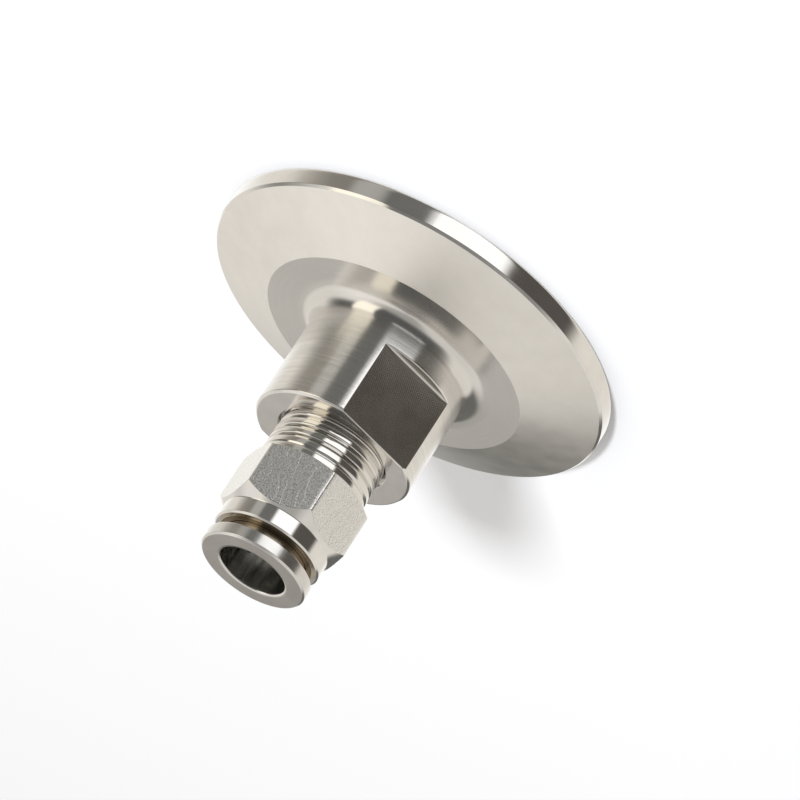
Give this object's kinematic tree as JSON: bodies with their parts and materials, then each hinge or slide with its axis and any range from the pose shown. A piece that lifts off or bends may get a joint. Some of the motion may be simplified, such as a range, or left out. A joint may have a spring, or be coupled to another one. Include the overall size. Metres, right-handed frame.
{
  "type": "push-in pneumatic fitting",
  "caption": "Stainless push-in tube fitting, its taper thread screwed into the flatted hub of a hygienic clamp ferrule; pushing the ring at the mouth frees the tube.",
  "frame": {"origin": "centre of the clamp flange's sealing face, the lowest plane of the part", "axes": "+Z along the common axis towards the push-in end; the hub's wrench flats face +Y and -Y"},
  "size_m": [0.0506, 0.0504, 0.0381],
  "materials": {
    "ferrule_steel": "turned, satin clamping cone, polished rim and hub, fine-milled flats",
    "body_steel": "turned and polished collar and thread, drawn hexagon faces with fine scratches",
    "ring_steel": "polished edge, fine turned face",
    "guide_steel": "turned",
    "spring_steel": "stamped spring sheet",
    "spacer_steel": "turned",
    "seal_rubber": "matt"
  },
  "bodies": {
    "adapter": {"clamp_ferrule": "ferrule_steel", "fitting_body": "body_steel", "guide_ring": "guide_steel", "lock_claw": "spring_steel", "seal_spacer": "spacer_steel", "tube_seal": "seal_rubber"},
    "release": {"release_ring": "ring_steel"}
  },
  "joints": [
    {"name": "release_push", "type": "slide", "parent": "adapter", "child": "release", "axis": [0, 0, -1], "range_m": [0, 0.0012], "stiffness_N_per_m": 1500, "springref_m": -0.0003, "deforming": ["lock_claw"]}
  ]
}
